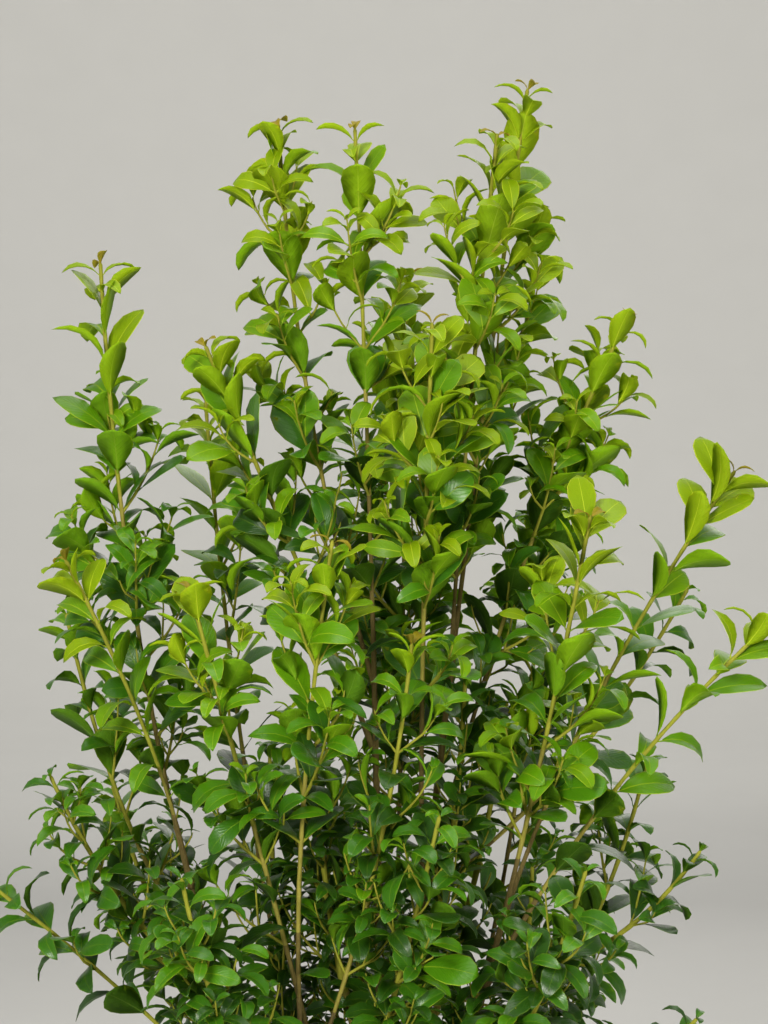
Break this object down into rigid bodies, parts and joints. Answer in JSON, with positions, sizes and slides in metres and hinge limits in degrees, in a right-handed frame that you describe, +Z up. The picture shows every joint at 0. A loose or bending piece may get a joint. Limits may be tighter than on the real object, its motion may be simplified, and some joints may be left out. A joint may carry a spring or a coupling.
{
  "type": "potted cedar bay cherry",
  "caption": "Bushy upright evergreen shrub with opposite oval leaves on twiggy stems, rising from one short trunk in a round plastic nursery pot of potting mix.",
  "frame": {"origin": "centre of the pot's flat underside", "axes": "+Z up, -Y towards the side of the crown that faces the viewer, +X to that viewer's right"},
  "size_m": [0.6729, 0.5255, 1.3644],
  "materials": {
    "pot_plastic": "satin",
    "potting_mix": "matte",
    "bark": "matte",
    "foliage": "satin"
  },
  "bodies": {
    "root": {"pot": "pot_plastic", "potting_mix": "potting_mix", "trunk": "bark", "bough_centre": "bark", "bough_far_left": "bark", "bough_tall_right": "bark", "bough_right": "bark", "bough_front_right": "bark", "bough_front_left": "bark", "bough_front_centre": "bark", "bough_back_centre": "bark", "bough_back_left": "bark", "bough_back_right": "bark", "bough_left": "bark", "bough_centre_left": "bark", "bough_inner_right": "bark", "bough_front_high": "bark", "bough_high_outer_right": "bark", "bough_outer_right": "bark", "bough_outer_left": "bark", "bough_side_left_back": "bark", "bough_side_right_back": "bark", "bough_lowest_left": "bark", "bough_front_mid": "bark", "foliage_centre": "foliage", "foliage_far_left": "foliage", "foliage_tall_right": "foliage", "foliage_right": "foliage", "foliage_front_right": "foliage", "foliage_front_left": "foliage", "foliage_front_centre": "foliage", "foliage_back_centre": "foliage", "foliage_back_left": "foliage", "foliage_back_right": "foliage", "foliage_left": "foliage", "foliage_centre_left": "foliage", "foliage_inner_right": "foliage", "foliage_front_high": "foliage", "foliage_high_outer_right": "foliage", "foliage_outer_right": "foliage", "foliage_outer_left": "foliage", "foliage_side_left_back": "foliage", "foliage_side_right_back": "foliage", "foliage_low_left": "foliage", "foliage_lowest_left": "foliage", "foliage_front_mid": "foliage", "foliage_low_front": "foliage", "foliage_low_front_left": "foliage", "foliage_low_front_right": "foliage", "foliage_low_right": "foliage", "foliage_lowest_right": "foliage", "foliage_low_back_left": "foliage", "foliage_low_back_right": "foliage", "foliage_low_back": "foliage", "foliage_inner_left": "foliage", "foliage_inner_front": "foliage", "foliage_inner_middle": "foliage", "foliage_inner_low_right": "foliage", "foliage_inner_back_right": "foliage", "foliage_inner_back": "foliage"}
  },
  "joints": []
}
